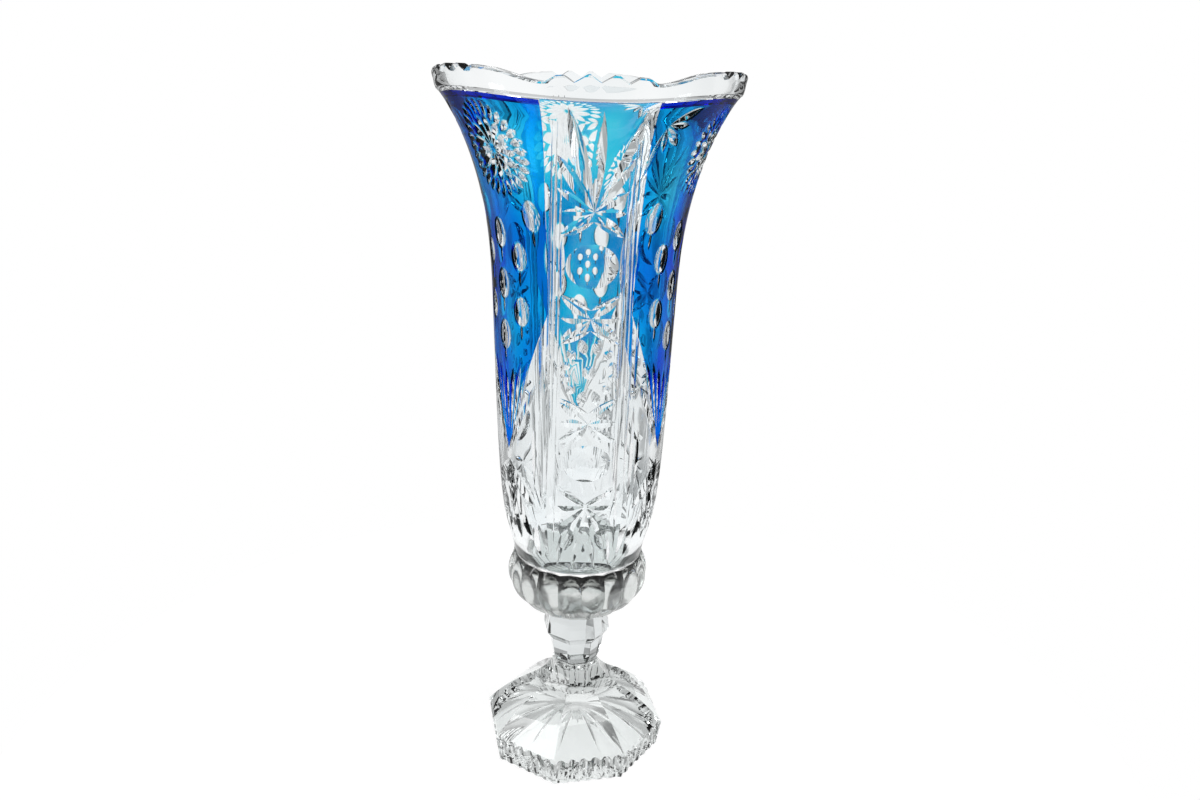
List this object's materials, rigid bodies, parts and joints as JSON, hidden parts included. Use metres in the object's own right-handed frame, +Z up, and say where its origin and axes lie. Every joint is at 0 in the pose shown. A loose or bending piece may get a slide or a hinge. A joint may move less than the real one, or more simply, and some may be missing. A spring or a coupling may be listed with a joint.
{
  "type": "cut crystal vase",
  "caption": "Tall footed vase of cut lead crystal with blue cased panels, a flared toothed rim, a fluted cup, a faceted stem and an eight-sided foot.",
  "frame": {"origin": "centre of the foot's underside, where the vase stands", "axes": "+Z up along the vase's axis; the middle of one clear panel of the bowl faces -Y"},
  "size_m": [0.1418, 0.142, 0.3499],
  "materials": {
    "bowl_crystal": "polished clear lead crystal with mitre and olive cuts",
    "cup_crystal": "polished clear lead crystal, fluted",
    "stem_crystal": "polished clear lead crystal, flat facets",
    "foot_crystal": "polished clear lead crystal, facets and edge flutes",
    "blue_casing": "polished cobalt blue overlay glass",
    "bond_film": "clear cured adhesive"
  },
  "bodies": {
    "root": {"foot": "foot_crystal", "foot_bond": "bond_film", "stem": "stem_crystal", "stem_bond": "bond_film", "fluted_cup": "cup_crystal", "bowl_bond": "bond_film", "bowl": "bowl_crystal", "blue_casing_left": "blue_casing", "blue_casing_right": "blue_casing", "blue_casing_back": "blue_casing"}
  },
  "joints": []
}
